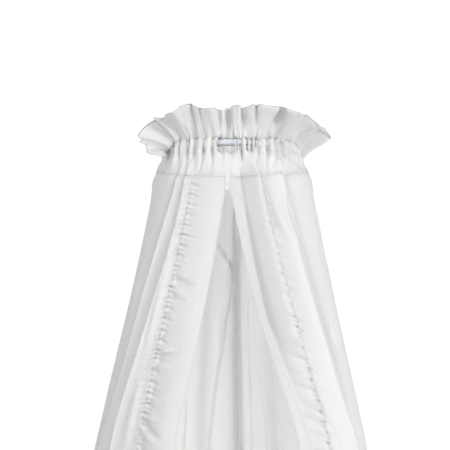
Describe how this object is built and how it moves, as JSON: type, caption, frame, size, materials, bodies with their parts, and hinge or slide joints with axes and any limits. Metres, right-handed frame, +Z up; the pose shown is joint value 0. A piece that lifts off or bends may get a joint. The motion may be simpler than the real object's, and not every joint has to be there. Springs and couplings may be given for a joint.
{
  "type": "crib canopy with hoop",
  "caption": "Tent-shaped white cotton crib canopy that hangs from a round hoop, open down the front, with a gathered casing and a ruffle that stands up around the top.",
  "frame": {"origin": "middle of the hoop's tube at the back, where a canopy pole holds the hoop", "axes": "+Z up, the way the cloth hangs; -Y towards the front, where the canopy opens; +X to the right of someone who looks at the front"},
  "size_m": [0.9559, 0.6852, 1.5866],
  "materials": {
    "cotton_cloth": "thin plain-weave white cotton, matt, slightly sheer",
    "hoop_plastic": "smooth white plastic, faintly bluish, satin"
  },
  "bodies": {
    "root": {"hoop": "hoop_plastic", "heading": "cotton_cloth", "curtain": "cotton_cloth", "front_band_left": "cotton_cloth", "front_band_right": "cotton_cloth"}
  },
  "joints": []
}
